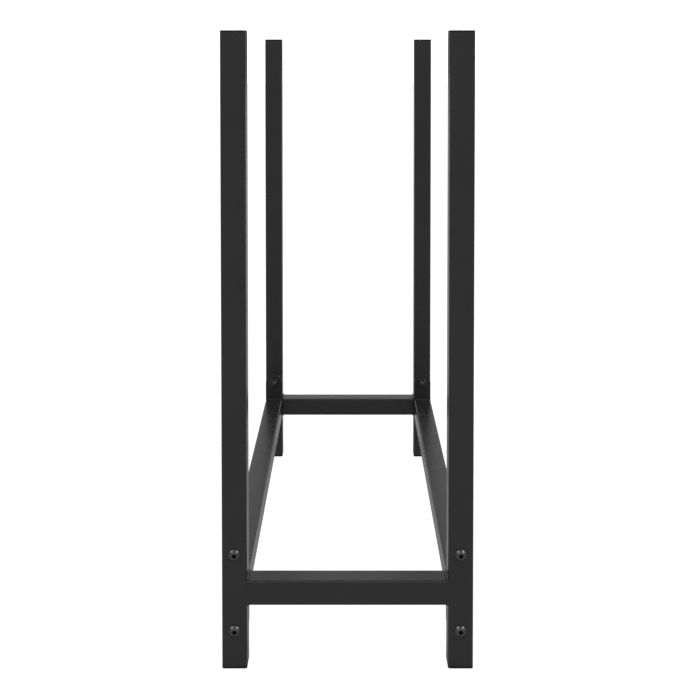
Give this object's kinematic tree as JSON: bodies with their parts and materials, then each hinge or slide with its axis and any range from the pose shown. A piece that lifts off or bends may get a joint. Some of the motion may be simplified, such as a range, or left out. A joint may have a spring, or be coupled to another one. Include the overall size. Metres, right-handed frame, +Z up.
{
  "type": "firewood log rack",
  "caption": "Open-topped rack that stacks firewood between two upright end frames of square steel tube, joined low down by two bolted rails.",
  "frame": {"origin": "on the floor, at the middle of the footprint of the four feet", "axes": "+Z up; +Y along the rails from the front end frame to the rear one; +X across the rack, to the right when it is seen from the front end frame"},
  "size_m": [0.3, 0.7706, 0.762],
  "materials": {
    "powder_coat": "satin black powder coat with a fine texture",
    "cap_plastic": "black moulded plastic, fine matt grain",
    "black_zinc": "black zinc plated steel, semi-bright"
  },
  "bodies": {
    "root": {"front_crossbar": "powder_coat", "front_left_upright": "powder_coat", "front_left_end_plate": "powder_coat", "front_left_top_cap": "cap_plastic", "front_left_foot_cap": "cap_plastic", "front_left_lower_bolt": "black_zinc", "front_left_lower_washer": "black_zinc", "front_left_lower_nut": "black_zinc", "front_left_upper_bolt": "black_zinc", "front_left_upper_washer": "black_zinc", "front_left_upper_nut": "black_zinc", "front_right_upright": "powder_coat", "front_right_end_plate": "powder_coat", "front_right_top_cap": "cap_plastic", "front_right_foot_cap": "cap_plastic", "front_right_lower_bolt": "black_zinc", "front_right_lower_washer": "black_zinc", "front_right_lower_nut": "black_zinc", "front_right_upper_bolt": "black_zinc", "front_right_upper_washer": "black_zinc", "front_right_upper_nut": "black_zinc", "rear_crossbar": "powder_coat", "rear_left_upright": "powder_coat", "rear_left_end_plate": "powder_coat", "rear_left_top_cap": "cap_plastic", "rear_left_foot_cap": "cap_plastic", "rear_left_lower_bolt": "black_zinc", "rear_left_lower_washer": "black_zinc", "rear_left_lower_nut": "black_zinc", "rear_left_upper_bolt": "black_zinc", "rear_left_upper_washer": "black_zinc", "rear_left_upper_nut": "black_zinc", "rear_right_upright": "powder_coat", "rear_right_end_plate": "powder_coat", "rear_right_top_cap": "cap_plastic", "rear_right_foot_cap": "cap_plastic", "rear_right_lower_bolt": "black_zinc", "rear_right_lower_washer": "black_zinc", "rear_right_lower_nut": "black_zinc", "rear_right_upper_bolt": "black_zinc", "rear_right_upper_washer": "black_zinc", "rear_right_upper_nut": "black_zinc", "left_rail": "powder_coat", "right_rail": "powder_coat"}
  },
  "joints": []
}
